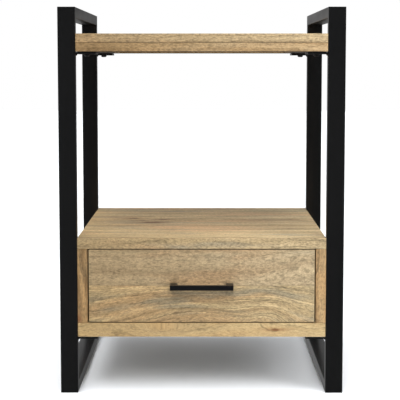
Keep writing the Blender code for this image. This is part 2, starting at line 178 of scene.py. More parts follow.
class Graph(Nodes):
    """A material's node tree, drawn in metres of the table's frame."""

    def __init__(self, name):
        self.material = bpy.data.materials.new(name)
        self.material.use_nodes = True
        super().__init__(self.material.node_tree)
        self.shader = self.tree.nodes["Principled BSDF"]
        self.place = self.node("ShaderNodeTexCoord").outputs["Object"]

    def finish(self, colour, roughness, height, bump_distance, specular=0.5, metallic=0.0):
        bump = self.node("ShaderNodeBump")
        bump.inputs["Strength"].default_value = 1.0
        bump.inputs["Distance"].default_value = bump_distance
        self.put(bump.inputs["Height"], height)
        self.put(self.shader.inputs["Base Color"], colour)
        self.put(self.shader.inputs["Roughness"], roughness)
        self.put(self.shader.inputs["Normal"], bump.outputs[0])
        self.shader.inputs["Specular IOR Level"].default_value = specular
        self.shader.inputs["Metallic"].default_value = metallic
        return self.material


# ---------------------------------------------------------------- wood

# Which object axes run along the grain, across the board and through it
LYING = (0, 1, 2)
LYING_DEEP = (1, 0, 2)
FACING = (0, 2, 1)
FACING_SIDE = (1, 2, 0)
STANDING = (2, 1, 0)

# Light, dark, reddish and grey wood of each part, linear
TOP_WOOD = (
    (0.370, 0.268, 0.143), (0.255, 0.175, 0.088), (0.320, 0.196, 0.092), (0.240, 0.193, 0.120),
)
LIPPING_WOOD = (
    (0.370, 0.255, 0.132), (0.262, 0.168, 0.080), (0.340, 0.224, 0.113), (0.255, 0.190, 0.110),
)
SHELF_WOOD = (
    (0.600, 0.452, 0.241), (0.410, 0.285, 0.142), (0.510, 0.325, 0.170), (0.350, 0.292, 0.191),
)
BOTTOM_WOOD = (
    (0.440, 0.312, 0.148), (0.395, 0.268, 0.120), (0.425, 0.275, 0.120), (0.385, 0.285, 0.150),
)
SIDE_WOOD = (
    (0.360, 0.226, 0.098), (0.238, 0.140, 0.057), (0.335, 0.194, 0.080), (0.262, 0.176, 0.084),
)
FRONT_UPPER_WOOD = (
    (0.345, 0.256, 0.142), (0.272, 0.196, 0.106), (0.330, 0.213, 0.108), (0.262, 0.217, 0.140),
)
FRONT_LOWER_WOOD = (
    (0.395, 0.290, 0.146), (0.275, 0.190, 0.092), (0.350, 0.224, 0.105), (0.240, 0.192, 0.115),
)
BOX_WOOD = (
    (0.62, 0.50, 0.33), (0.52, 0.40, 0.25), (0.58, 0.43, 0.27), (0.50, 0.42, 0.30),
)
# Near-black painted shade under the tabletop; below it the cabinet's bare underside
PAINTED_UNDERSIDE_SHADE = (0.025, 0.021, 0.019)
UNLACQUERED = (0.47, 0.44, 0.39)
PORE = (0.10, 0.062, 0.030)
KNOT = (0.095, 0.042, 0.016)
KNOT_HALO = (0.205, 0.098, 0.038)

# How often each mark comes in a metre: along the grain, across the board and through it
STRAY = (5.5, 9.0, 9.0)
KNOCKS = (14.0, 30.0, 30.0)
LINE_PATCHES = (7.0, 22.0, 22.0)
STREAKS = (8.0, 175.0, 175.0)
FLECKS = (200.0, 430.0, 430.0)
DASHES = (130.0, 350.0, 350.0)
RED_PATCHES = (4.0, 24.0, 24.0)
GREY_PATCHES = (5.0, 34.0, 34.0)
PALE_THREADS = (11.0, 105.0, 105.0)
MOTTLE = (34.0, 55.0, 55.0)
PORES = (70.0, 1300.0, 1300.0)
RIPPLE = (260.0, 70.0, 70.0)

# How strongly each mark shows on a board of strength 1
STREAK_DEPTH = 0.60
FLECK_DEPTH = 1.30
DASH_DEPTH = 0.22
MOTTLE_DEPTH = 0.24
RIPPLE_DEPTH = 0.50
LINE_DEPTH = 0.42
PORE_DEPTH = 0.40
STRIP_GLUE_DEPTH = 0.40
PAIR_GLUE_DEPTH = 0.35
# How far the rings are knocked about, in metres, how much longer a knot's halo is along the grain, and how
# many rings its heart has for each radius
KNOCK_DEPTH = 0.012
KNOT_TAIL = 2.2
KNOT_RINGS = 3.5

# Strips of a glued-up panel: how their edges wave and by what share of a strip, how their shades differ,
# how far along the log each begins, and half a glue line, in metres
STRIP_WAVES = 23.0
STRIP_UNEVEN = 0.16
STRIP_SHADES = 0.32
STRIP_SHIFT = 9.0
GLUE_LINE = 0.0005

# Painted sheen: green and blue of the lacquered wood at the table's left and at its right, where it is cooler
# and paler as if sheened by the light from that side
PAINTED_SHEEN_GREEN = (0.975, 1.045)
PAINTED_SHEEN_BLUE = (0.935, 1.120)
SATIN = 0.30
WOOD_RELIEF = 0.00010


def ellipsoid(graph, centre, radii):
    """Distance from a centre, where 1 is the surface of an ellipsoid of those radii."""
    away = graph.vector("SUBTRACT", graph.place, tuple(centre))
    return graph.vector("LENGTH", graph.vector("DIVIDE", away, tuple(radii)))


def hump(graph, centre, radii):
    """Smooth hump, 1 at the centre and fading over those radii."""
    squared = graph.math("POWER", ellipsoid(graph, centre, radii), 2.0)
    return graph.math("EXPONENT", graph.times(squared, -1.0))


def left_to_right(graph, at_left, at_right):
    """Smooth change over the width of the table."""
    return graph.step(graph.split(graph.place)[0], CAD_LOW.x, CAD_HIGH.x, at_left, at_right)


def inside(node, share):
    """A point given as shares of a node's box."""
    low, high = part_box(node)
    return Vector(low[i] + (high[i] - low[i]) * share[i] for i in range(3))


def spots(node, *places):
    """Places on a board, each with its centre as shares of the node's box, its radii and what else it has."""
    return [(inside(node, share), *rest) for share, *rest in places]


class Board:
    """How one board looks.

    axes are the object axes along the grain, across the board and through it. colours are light,
    dark, reddish and grey. seed makes the board's grain its own.
    strips is (low, high, count) across the board for a panel glued up from several pieces.
    swirls are (centre, radii, lift): there the grain is pushed sideways by lift metres, which makes arches.
    knots are (centre, radii). shades are (centre, radii, factor): broad lighter and darker places: wood
    figure, painted shade and painted light.
    calm is (centre, radii, share): a place where streaks and rings lose that share of their contrast.
    The ramp of painted light is how bright the board is painted at the table's left and at its right, darker
    at the left where less light falls.
    wander is how far the grain strays sideways, rings the growth rings per metre.
    flecks, streaks, lines and ripple are how strongly each kind of mark shows, gleam how far the
    pale threads stand out. underside is (height, softness, colour) of a lower face given another
    colour: painted shade under the tabletop, bare wood under the cabinet's bottom.
    """

    def __init__(self, axes, colours, seed, **looks):
        self.axes = axes
        self.colours = colours
        self.seed = seed
        self.strips = looks.get("strips")
        self.swirls = looks.get("swirls", ())
        self.knots = looks.get("knots", ())
        self.shades = looks.get("shades", ())
        self.calm = looks.get("calm")
        self.tone = looks.get("tone", (1.0, 1.0))
        self.wander = looks.get("wander", 0.012)
        self.rings = looks.get("rings", 90.0)
        self.flecks = looks.get("flecks", 1.0)
        self.streaks = looks.get("streaks", 1.0)
        self.lines = looks.get("lines", 1.0)
        self.ripple = looks.get("ripple", 0.0)
        self.gleam = looks.get("gleam", 0.17 * self.streaks)
        self.underside = looks.get("underside")


def glue_strips(graph, board, across, drift):
    """Strips of a glued-up panel: the shade of each, where its grain starts, and the lines between them."""
    low, high, count = board.strips
    width = (high - low) / count
    wave = graph.math("SINE", graph.linear(across, STRIP_WAVES, board.seed))
    unequal = graph.times(wave, width * STRIP_UNEVEN)
    strip = graph.math("DIVIDE", graph.plus(graph.minus(across, low), unequal), width)
    index = graph.math("FLOOR", strip)
    chance = graph.node("ShaderNodeTexWhiteNoise", noise_dimensions="1D")
    graph.put(chance.inputs["W"], graph.plus(index, board.seed))
    shade = graph.about_one(chance.outputs["Value"], STRIP_SHADES)
    start = graph.linear(chance.outputs["Value"], STRIP_SHIFT, drift)
    edge = graph.math("ABSOLUTE", graph.minus(graph.minus(strip, index), 0.5))
    return shade, start, graph.step(edge, 0.5 - GLUE_LINE / width, 0.5)


def bend_grain(graph, board, straight, across):
    """Place across the board after the grain has wandered, arched and parted round its knots."""
    stray = graph.noise(straight, STRAY, 2.0, 0.45)
    bent = graph.plus(across, graph.times(graph.minus(stray, 0.5), board.wander * 4.0))
    for centre, radii, lift in board.swirls:
        bent = graph.linear(hump(graph, centre, radii), lift, bent)
    for centre, radii in board.knots:
        away = graph.minus(across, centre[board.axes[1]])
        parting = graph.times(hump(graph, centre, Vector(radii) * 2.2), -0.75)
        bent = graph.linear(away, parting, bent)
    return bent


def growth_rings(graph, board, grain, bent, through, drift):
    """Broad bands by the distance from the log's axis, and a fine dark line where each season ends."""
    # the axis lies beside the board, at a place that its seed picks
    axis_across = 0.03 + 0.05 * math.sin(board.seed * 2.3)
    axis_through = 0.045 + 0.02 * math.cos(board.seed * 1.9)
    to_axis = graph.join(graph.minus(bent, axis_across), graph.minus(through, axis_through), 0.0)
    knock = graph.times(graph.noise(grain, KNOCKS, 3.0, 0.55), KNOCK_DEPTH)
    radius = graph.plus(graph.vector("LENGTH", to_axis), knock)
    phase = graph.linear(radius, board.rings, drift)
    band = graph.step(graph.line_noise(phase, 4.0, 0.6), 0.36, 0.66)
    uneven_phase = graph.linear(graph.line_noise(graph.times(phase, 0.45), 2.0), 2.5, phase)
    season = graph.math("FRACT", uneven_phase)
    line = graph.times(graph.step(season, 0.62, 0.93), graph.step(season, 1.0, 0.95))
    shown = graph.step(graph.noise(grain, LINE_PATCHES, offset=(2.0, 9.0, 4.0)), 0.40, 0.62)
    return band, graph.times(line, graph.times(shown, LINE_DEPTH * board.lines))


def draw_knots(graph, board, colour, fleck, mottle, streak):
    """Knots with a ringed dark heart, each in a brown halo drawn out along the grain."""
    for centre, radii in board.knots:
        ragged = graph.linear(fleck, 0.5, graph.linear(mottle, 2.4, -1.45))
        reach = graph.plus(ellipsoid(graph, centre, radii), ragged)
        tail = Vector(radii) * 1.5
        tail[board.axes[0]] *= KNOT_TAIL
        halo = graph.times(hump(graph, centre, tail), graph.linear(streak, 1.2, 0.1))
        colour = graph.mix(halo, colour, KNOT_HALO)
        heart = graph.mix(graph.math("FRACT", graph.times(reach, KNOT_RINGS)), KNOT, KNOT_HALO)
        colour = graph.mix(graph.step(reach, 1.5, 0.7), colour, heart)
    return colour


def draw_board(graph, board):
    """Colour, roughness and height of a board, cut from a log whose rings run round an axis beside it."""
    light, dark, red, grey = board.colours
    parts = graph.split(graph.place)
    along, across, through = (parts[axis] for axis in board.axes)
    shade = 1.0
    glue = None
    drift = board.seed * 1.7
    if board.strips:
        shade, drift, glue = glue_strips(graph, board, across, drift)
    along = graph.plus(along, drift)
    straight = graph.join(along, across, through)
    bent = bend_grain(graph, board, straight, across)
    grain = graph.join(along, bent, through)
    band, line = growth_rings(graph, board, grain, bent, through, drift)

    # long streaks, patches of other colour, short flecks and pores
    streak = graph.noise(grain, STREAKS, 4.0, 0.6)
    if board.calm:
        centre, radii, share = board.calm
        left = graph.linear(hump(graph, centre, radii), -share, 1.0)
        streak = graph.linear(graph.minus(streak, 0.5), left, 0.5)
        band = graph.linear(graph.minus(band, 0.5), left, 0.5)
    fleck = graph.noise(grain, FLECKS, 2.0, 0.7)
    dash = graph.step(graph.noise(grain, DASHES, 1.0, offset=(5.0, 1.0, 8.0)), 0.54, 0.64)
    reddish = graph.noise(grain, RED_PATCHES, 3.0)
    greyish = graph.noise(grain, GREY_PATCHES, 3.0, 0.6, offset=(7.0, 3.0, 5.0))
    pale = graph.step(graph.noise(grain, PALE_THREADS, 3.0, 0.6, offset=(3.0, 8.0, 2.0)), 0.52, 0.66)
    mottle = graph.noise(straight, MOTTLE, 3.0, 0.6)
    pores = graph.step(graph.noise(grain, PORES, 2.0, 0.6), 0.60, 0.72)

    colour = graph.mix(band, light, dark)
    colour = graph.mix(graph.step(reddish, 0.46, 0.66, 0.0, 0.85), colour, red)
    colour = graph.mix(graph.step(greyish, 0.50, 0.68, 0.0, min(0.75 * board.streaks, 1.0)), colour, grey)
    factors = [
        graph.about_one(fleck, FLECK_DEPTH * board.flecks),
        graph.linear(dash, -DASH_DEPTH * board.flecks, 1.04),
        graph.minus(1.0, line),
        graph.about_one(mottle, MOTTLE_DEPTH),
        graph.linear(pale, board.gleam, 1.0 - 0.3 * board.gleam),
    ]
    if board.ripple:
        factors.append(graph.about_one(graph.noise(straight, RIPPLE, 1.0), RIPPLE_DEPTH * board.ripple))
    for centre, radii, factor in board.shades:
        factors.append(graph.linear(hump(graph, centre, radii), factor - 1.0, 1.0))
    # Painted light: the strip's own shade times the ramp that paints the board darker towards the table's
    # left
    factors.append(graph.times(shade, left_to_right(graph, *board.tone)))
    value = graph.about_one(streak, STREAK_DEPTH * board.streaks)
    for factor in factors:
        value = graph.times(value, factor)

    roughness = graph.linear(streak, 0.16, 0.46)
    roughness = graph.linear(pores, 0.15, roughness)
    # The lowest face in another colour: painted shade under the tabletop, bare wood under the cabinet's
    # bottom
    if board.underside:
        level, soft, underside_colour = board.underside
        underside_mask = graph.step(graph.split(graph.place)[2], level + soft, level + 0.0001)
        colour = graph.mix(graph.times(underside_mask, 0.92), colour, underside_colour)
        roughness = graph.linear(underside_mask, 0.35, roughness)
    # Painted sheen: the colour made paler and cooler towards the table's right
    painted_sheen_tint = graph.join(1.0, left_to_right(graph, *PAINTED_SHEEN_GREEN), left_to_right(graph, *PAINTED_SHEEN_BLUE))
    colour = graph.vector("MULTIPLY", graph.brighten(colour, value), painted_sheen_tint)
    colour = graph.mix(graph.times(pores, PORE_DEPTH), colour, PORE)
    colour = draw_knots(graph, board, colour, fleck, mottle, streak)
    if glue is not None:
        colour = graph.mix(graph.times(glue, STRIP_GLUE_DEPTH), colour, PORE)

    height = graph.linear(pores, -0.8, graph.times(streak, 0.5))
    height = graph.linear(fleck, 0.5, height)
    return colour, roughness, height


def wood(name, axes, colours, seed, gloss=SATIN, **looks):
    """Wood under a thin satin lacquer, with the looks of a board."""
    graph = Graph(name)
    colour, roughness, height = draw_board(graph, Board(axes, colours, seed, **looks))
    return graph.finish(colour, roughness, height, WOOD_RELIEF, specular=gloss)


def wood_pair(name, axes, joint, lower, upper):
    """Two boards glued edge to edge, with their joint at a place across the grain."""
    graph = Graph(name)
    first = draw_board(graph, lower)
    second = draw_board(graph, upper)
    across = graph.split(graph.place)[axes[1]]
    above = graph.step(across, joint - 0.0001, joint + 0.0001)
    glue = graph.step(graph.math("ABSOLUTE", graph.minus(across, joint)), 0.0006, 0.0)
    colour = graph.mix(above, first[0], second[0])
    colour = graph.mix(graph.times(glue, PAIR_GLUE_DEPTH), colour, PORE)
    roughness, height = (
        graph.linear(graph.minus(second[part], first[part]), above, first[part])
        for part in (1, 2)
    )
    return graph.finish(colour, roughness, height, WOOD_RELIEF, specular=SATIN)


# ---------------------------------------------------------------- metal and other finishes

COAT_BLACK = (0.0048, 0.0048, 0.0050)
HANDLE_BLACK = (0.0040, 0.0044, 0.0052)
DUST = (0.02, 0.02, 0.021)
OXIDE = (0.022, 0.022, 0.024)
OXIDE_RUBBED = (0.060, 0.054, 0.048)
ZINC = (0.58, 0.60, 0.63)
ZINC_CLOUD = (0.46, 0.48, 0.49)
RUBBER = (0.012, 0.012, 0.012)
RUBBER_DUST = (0.035, 0.034, 0.033)


def powder_coat(name, colour):
    """Black powder coat: an even satin skin with fine orange peel and hardly any change of tone."""
    graph = Graph(name)
    peel = graph.noise(graph.place, 850.0, 2.0, 0.5)
    cloud = graph.noise(graph.place, 9.0, 3.0, 0.5)
    dust = graph.step(graph.noise(graph.place, 2400.0, 1.0), 0.72, 0.80)
    shade = graph.brighten(graph.mix(dust, colour, DUST), graph.about_one(cloud, 0.3))
    roughness = graph.linear(cloud, 0.10, 0.30)
    return graph.finish(shade, roughness, peel, bump_distance=0.00004)


def black_oxide():
    """Dark steel of the bolts, a little brighter and browner where it has been handled."""
    graph = Graph("black_oxide")
    wear = graph.noise(graph.place, 420.0, 3.0, 0.6)
    rubbed = graph.step(wear, 0.52, 0.70)
    colour = graph.mix(rubbed, OXIDE, OXIDE_RUBBED)
    roughness = graph.linear(wear, 0.25, 0.28)
    return graph.finish(colour, roughness, wear, bump_distance=0.00003, metallic=0.7)


def zinc():
    """Dull zinc on rolled steel, with faint rolling lines along it and a cloudy passivation."""
    graph = Graph("zinc")
    rolling = graph.noise(graph.place, (900.0, 14.0, 900.0), 2.0)
    cloud = graph.noise(graph.place, 60.0, 3.0, 0.6)
    colour = graph.mix(graph.step(cloud, 0.35, 0.65), ZINC, ZINC_CLOUD)
    colour = graph.brighten(colour, graph.about_one(rolling, 0.3))
    roughness = graph.linear(cloud, 0.20, 0.30)
    return graph.finish(colour, roughness, rolling, bump_distance=0.00002, metallic=0.45)


def rubber():
    """Black rubber of the slides' end stops, dusty on its raised grain."""
    graph = Graph("rubber")
    grain = graph.noise(graph.place, 1500.0, 2.0)
    colour = graph.mix(graph.step(grain, 0.5, 0.8), RUBBER, RUBBER_DUST)
    return graph.finish(colour, 0.65, grain, bump_distance=0.00004, specular=0.3)


# ---------------------------------------------------------------- pieces

# Metres: the rounding of a tube's edges, the radius of a weld bead and how far its corner sits in the steel
TUBE_ROUND = 0.0006
BEAD = 0.0027
BEAD_SUNK = 0.0002
BEAD_RIPPLES = 7
# Bolts: half the width of the socket, its depth, the shank's radius. Screws: height of head, shank's radius.
BOLT_SOCKET = 0.0020
BOLT_SOCKET_DEPTH = 0.0020
BOLT_SHANK = 0.0030
HANDLE_SCREW = (0.0024, 0.0020)
SLIDE_SCREW = (0.0013, 0.0017)
# Slides: the sheet, the radius of its folds and of its lips, the balls that run between them, the end
# stop's size, and how far behind the middle channel's front each row of balls begins
SHEET = 0.0012
FOLD = 0.0022
LIP = 0.0009
BALL_RADIUS = 0.00115
BALL_PITCH = 0.0062
BALLS_IN_ROW = 12
END_STOP = Vector((0.0030, 0.0060, 0.0100))
OUTER_BALLS = 0.300
INNER_BALLS = 0.060
# Holes in the webs: how far from the channel's front, how long and how high
SCREW_HOLES = [(0.035, 0.0040, 0.0040), (0.415, 0.0040, 0.0040)]
LONG_SLOTS = [(0.085 + 0.07 * number, 0.034, 0.0052) for number in range(5)]
# Handle: how thick the bar and the legs are, and the radii of its inner corners and of its edges
BAR = 0.0088
LEG = 0.0129
HANDLE_FILLET = 0.0014
HANDLE_ROUND = 0.0005


def add_piece(shape, name, body, material, replaced=(), smooth_below=35.0):
    """A mesh as a piece of the table: named, shaded, finished and riding on a body."""
    bmesh.ops.recalc_face_normals(shape, faces=shape.faces)
    mesh = bpy.data.meshes.new(name)
    shape.to_mesh(mesh)
    shape.free()
    mesh.shade_smooth()
    mesh.set_sharp_from_angle(angle=math.radians(smooth_below))
    mesh.materials.append(material)
    piece = bpy.data.objects.new(name, mesh)
    bpy.context.scene.collection.objects.link(piece)
    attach(piece, body)
    if replaced:
        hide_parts(*replaced)


def bridge(shape, first, second, closed=True):
    """Quads between two rows of vertices of the same length."""
    count = len(first)
    for i in range(count if closed else count - 1):
        j = (i + 1) % count
        shape.faces.new((first[i], first[j], second[j], second[i]))


def rounded_rectangle(width, height, radius, steps):
    """Outline about the origin, with a quarter circle of so many steps at each corner."""
    outline = []
    for corner, (sx, sy) in enumerate(((1, 1), (-1, 1), (-1, -1), (1, -1))):
        for step in range(steps + 1):
            turn = (corner + step / steps) * math.pi / 2
            outline.append((
                sx * (width / 2 - radius) + radius * math.cos(turn),
                sy * (height / 2 - radius) + radius * math.sin(turn),
            ))
    return outline


def make_side_frames(coat):
    """Each side frame in one welded piece: a tube's outline led round a rectangle, its mitres flush."""
    section = rounded_rectangle(TUBE_FACE, TUBE_EDGE, TUBE_ROUND, 3)
    middle_y = (FRONT_Y + BACK_Y) / 2
    middle_z = HEIGHT / 2
    reach_y = (BACK_Y - FRONT_Y) / 2
    reach_z = HEIGHT / 2
    for side, sign in SIDES:
        x = sign * (CAD_HIGH.x - TUBE_FACE / 2)
        shape = bmesh.new()
        loops = []
        for sy, sz in ((-1, -1), (1, -1), (1, 1), (-1, 1)):
            loops.append([
                shape.verts.new((
                    x + across,
                    middle_y + sy * (reach_y - TUBE_EDGE / 2 - deep),
                    middle_z + sz * (reach_z - TUBE_EDGE / 2 - deep),
                ))
                for across, deep in section
            ])
        for first, second in zip(loops, loops[1:] + loops[:1]):
            bridge(shape, first, second)
        tubes = [f"{side}_{tube}" for tube in ("front_post", "back_post", "top_rail", "bottom_rail")]
        add_piece(shape, f"{side}_frame", "table", coat, tubes)


def make_welds(coat):
    """The bead under each plate's root, where it stands against its post."""
    steps = BEAD_RIPPLES * 6
    for level in ("tabletop", "cabinet"):
        for side, sign in SIDES:
            for end, sign_y in ENDS:
                low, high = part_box(f"{level}_plate_{side}_{end}")
                root_x = sign * (CAD_HIGH.x - TUBE_FACE)
                start = max(low.y, FRONT_Y) if sign_y < 0 else BACK_Y - TUBE_EDGE
                stop = FRONT_Y + TUBE_EDGE if sign_y < 0 else high.y
                shape = bmesh.new()
                rows = []
                for step in range(steps + 1):
                    share = step / steps
                    taper = math.sqrt(math.sin(math.pi * min(max(share, 0.02), 0.98)))
                    bead = BEAD * taper * (1 + 0.10 * math.cos(share * BEAD_RIPPLES * 2 * math.pi))
                    y = start + (stop - start) * share
                    row = [(root_x + sign * BEAD_SUNK, low.z + BEAD_SUNK)]
                    for turn in range(6):
                        out = bead * math.cos(turn * math.pi / 10)
                        down = bead * math.sin(turn * math.pi / 10)
                        row.append((root_x - sign * out, low.z + BEAD_SUNK - down))
                    rows.append([shape.verts.new((x, y, z)) for x, z in row])
                for first, second in zip(rows, rows[1:]):
                    bridge(shape, first, second)
                shape.faces.new(rows[0])
                shape.faces.new(rows[-1])
                add_piece(shape, f"{level}_weld_{side}_{end}", "table", coat)


def hexagon(turn):
    """How far a hexagon of unit inner radius reaches in a direction."""
    sector = math.pi / 3
    return 1.0 / math.cos((turn + sector / 2) % sector - sector / 2)


def cross(turn):
    """How far a four-armed recess reaches in a direction."""
    arm = abs(math.cos(2 * turn))
    return 0.34 + 0.66 * arm ** 3


def turned_fastener(shape, place, socket, socket_radius, socket_depth, head, shank_radius, grip):
    """A domed head above Z = 0 with a driver recess in it, and a plain shank below; place moves it."""
    steps = 48
    head_radius, head_height = head
    rim = head_height * 0.3
    rings = [
        (socket_radius * 0.55, head_height - socket_depth, socket),
        (socket_radius, head_height - socket_depth * 0.85, socket),
        (socket_radius, head_height, socket),
    ]
    opening = socket_radius * 1.25
    for step in range(7):
        radius = opening + (head_radius - opening) * math.sin(step / 6 * math.pi / 2)
        rings.append((radius, rim + (head_height - rim) * math.cos(step / 6 * math.pi / 2), None))
    rings += [
        (head_radius, 0.0, None),
        (shank_radius, 0.0, None),
        (shank_radius, shank_radius * 0.35 - grip, None),
        (shank_radius * 0.65, -grip, None),
    ]
    rows = []
    for radius, height, outline in rings:
        row = []
        for step in range(steps):
            turn = step / steps * 2 * math.pi
            reach = radius * (outline(turn) if outline else 1.0)
            point = Vector((reach * math.cos(turn), reach * math.sin(turn), height))
            row.append(shape.verts.new(place @ point))
        rows.append(row)
    for first, second in zip(rows, rows[1:]):
        bridge(shape, first, second)
    shape.faces.new(rows[0])
    shape.faces.new(rows[-1])


def make_bolts(material):
    """Button-head socket bolts up through the plates."""
    for level in ("tabletop", "cabinet"):
        for side, _ in SIDES:
            for end, _ in ENDS:
                node = f"{level}_bolt_{side}_{end}"
                low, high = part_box(node)
                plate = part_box(f"{level}_plate_{side}_{end}")[0].z
                centre = Vector(((low.x + high.x) / 2, (low.y + high.y) / 2, plate))
                place = Matrix.Translation(centre) @ Matrix.Rotation(math.pi, 4, "X")
                shape = bmesh.new()
                head = ((high.x - low.x) / 2, plate - low.z)
                grip = high.z - plate
                turned_fastener(shape, place, hexagon, BOLT_SOCKET, BOLT_SOCKET_DEPTH, head, BOLT_SHANK, grip)
                add_piece(shape, node + "_socket_head", "table", material, [node])


def make_screws(material):
    """Cross-recessed pan-head screws of the slides and of the handle."""
    for node in NODES:
        if "screw" not in node:
            continue
        low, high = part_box(node)
        centre = (low + high) / 2
        if node.startswith("handle"):
            axis = Vector((0, 1, 0))
            body = "drawer"
            head_height, shank = HANDLE_SCREW
        else:
            outward = 1 if node.startswith("right") else -1
            body = "drawer" if "drawer" in node else "table"
            axis = Vector((outward if body == "drawer" else -outward, 0, 0))
            head_height, shank = SLIDE_SCREW
        extent = (high - low).dot(Vector(map(abs, axis)))
        top = centre + axis * extent / 2
        turn = axis.to_track_quat("Z", "Y").to_matrix().to_4x4()
        place = Matrix.Translation(top - axis * head_height) @ turn
        shape = bmesh.new()
        head_radius = sorted(high - low)[1] / 2
        recess = (head_radius * 0.62, head_height * 0.7)
        grip = extent - head_height
        turned_fastener(shape, place, cross, *recess, (head_radius, head_height), shank, grip)
        add_piece(shape, node + "_cross_head", body, material, [node])


def slot_edge(centre, length, height, steps=3):
    """Upper edge of a slot with round ends, from one tip to the other, as (along, up)."""
    radius = height / 2
    edge = []
    for sign, first in ((-1, math.pi), (1, math.pi / 2)):
        for step in range(steps + 1):
            turn = first - step / steps * math.pi / 2
            edge.append((
                centre + sign * (length / 2 - radius) + radius * math.cos(turn),
                radius * math.sin(turn),
            ))
    if length <= height:
        del edge[steps]
    return edge


def rolled_channel(node, body, slots, material):
    """A channel of folded sheet: a slotted web, rounded folds and lips turned in over the balls.

    slots are (along from the front, length, height) on the web's middle line.
    """
    low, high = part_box(node)
    web_on_right = node.startswith("right") != ("drawer" in node)
    web_x, mouth_x = (high.x, low.x) if web_on_right else (low.x, high.x)
    towards = math.copysign(1.0, mouth_x - web_x)
    middle_z = (low.z + high.z) / 2
    half = (high.z - low.z) / 2
    shape = bmesh.new()

    def row(x, z):
        return [shape.verts.new((x, y, middle_z + z)) for y in (low.y, high.y)]

    corners = []
    for sign in (-1, 1):
        profile = []
        for step in range(5):
            turn = step / 4 * math.pi / 2
            profile.append((
                web_x + towards * FOLD * (1 - math.cos(turn)),
                sign * (half - FOLD + FOLD * math.sin(turn)),
            ))
        for step in range(4):
            turn = step / 3 * math.pi / 2
            profile.append((
                mouth_x - towards * LIP * (1 - math.sin(turn)),
                sign * (half - LIP * (1 - math.cos(turn))),
            ))
        rows = [row(x, z) for x, z in profile]
        for first, second in zip(rows, rows[1:]):
            bridge(shape, first, second, closed=False)
        corners.append(rows[0])
    ends = [shape.verts.new((web_x, y, middle_z)) for y in (low.y, high.y)]
    halves = ([ends[0]], [ends[0]])
    for along, length, height in sorted(slots):
        edge = slot_edge(low.y + along, length, height)
        tips = [shape.verts.new((web_x, y, middle_z)) for y in (edge[0][0], edge[-1][0])]
        for half_web, sign in zip(halves, (-1, 1)):
            half_web.append(tips[0])
            half_web += [shape.verts.new((web_x, y, middle_z + sign * up)) for y, up in edge[1:-1]]
            half_web.append(tips[1])
    for half_web, (near, far) in zip(halves, corners):
        shape.faces.new(half_web + [ends[1], far, near])
    shape.normal_update()
    bmesh.ops.recalc_face_normals(shape, faces=shape.faces)
    web = max(shape.faces, key=lambda face: abs(face.normal.x) * face.calc_area())
    inwards = web.normal.x * towards
    bmesh.ops.solidify(shape, geom=shape.faces[:], thickness=SHEET if inwards < 0 else -SHEET)
    add_piece(shape, node + "_rolled", body, material, [node], 30.0)


def make_slides(material, stop_material):
    """Three rolled channels a side, with rows of balls and rubber end stops."""
    for side, sign in SIDES:
        middle_body = f"{side}_slide_middle"
        rolled_channel(f"{side}_slide_cabinet_channel", "table", SCREW_HOLES + LONG_SLOTS, material)
        rolled_channel(f"{side}_slide_middle_channel", middle_body, LONG_SLOTS[1:4], material)
        rolled_channel(f"{side}_slide_drawer_channel", "drawer", SCREW_HOLES + LONG_SLOTS[1:4], material)
        low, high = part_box(f"{side}_slide_middle_channel")
        _, outer_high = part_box(f"{side}_slide_cabinet_channel")
        _, inner_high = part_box(f"{side}_slide_drawer_channel")
        middle_x = (low.x + high.x) / 2
        rows = (
            ("outer", low.y + OUTER_BALLS, (outer_high.z - SHEET + high.z) / 2),
            ("inner", low.y + INNER_BALLS, (high.z - SHEET + inner_high.z) / 2),
        )
        for name, start, height in rows:
            shape = bmesh.new()
            for z in (height, low.z + high.z - height):
                for number in range(BALLS_IN_ROW):
                    centre = Matrix.Translation((middle_x, start + BALL_PITCH * number, z))
                    bmesh.ops.create_icosphere(shape, subdivisions=2, radius=BALL_RADIUS, matrix=centre)
            add_piece(shape, f"{side}_{name}_balls", middle_body, material, (), 80.0)
        shape = bmesh.new()
        place = Vector((middle_x + sign * 0.0005, outer_high.y - END_STOP.y / 2, (low.z + high.z) / 2))
        block = Matrix.Translation(place) @ Matrix.Diagonal((*END_STOP, 1.0))
        bmesh.ops.create_cube(shape, size=1.0, matrix=block)
        bmesh.ops.bevel(shape, geom=shape.edges[:], offset=0.0008, segments=3, profile=0.5, affect="EDGES")
        add_piece(shape, f"{side}_end_stop", "table", stop_material)


def make_handle(material):
    """Square bar and legs in one casting, with its edges rounded and the legs' feet flat."""
    low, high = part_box("handle")
    centre_y = low.y + BAR + HANDLE_FILLET
    outline = [(low.x, high.y), (low.x, low.y), (high.x, low.y), (high.x, high.y), (high.x - LEG, high.y)]
    for centre_x, start in ((high.x - LEG - HANDLE_FILLET, 0.0), (low.x + LEG + HANDLE_FILLET, math.pi / 2)):
        for step in range(5):
            turn = start + step / 4 * math.pi / 2
            outline.append((
                centre_x + HANDLE_FILLET * math.cos(turn),
                centre_y - HANDLE_FILLET * math.sin(turn),
            ))
    outline.append((low.x + LEG, high.y))
    shape = bmesh.new()
    base = shape.faces.new([shape.verts.new((x, y, low.z)) for x, y in outline])
    pushed = bmesh.ops.extrude_face_region(shape, geom=[base])["geom"]
    lifted = [v for v in pushed if isinstance(v, bmesh.types.BMVert)]
    bmesh.ops.translate(shape, verts=lifted, vec=(0, 0, high.z - low.z))
    bmesh.ops.recalc_face_normals(shape, faces=shape.faces)
    shape.normal_update()
    corners = [edge for edge in shape.edges if edge.calc_face_angle(0.0) > math.radians(60)]
    corners = [edge for edge in corners if min(v.co.y for v in edge.verts) < high.y - 0.0001]
    bmesh.ops.bevel(shape, geom=corners, offset=HANDLE_ROUND, segments=3, profile=0.5, affect="EDGES")
    add_piece(shape, "bar_handle", "drawer", material, ["handle"], 50.0)


# ---------------------------------------------------------------- finishes on the boards

def finish_node(node, material):
    """Gives a CAD node a material in place of its packed one."""
    for slot in NODES[node].material_slots:
        slot.link = "OBJECT"
        slot.material = material
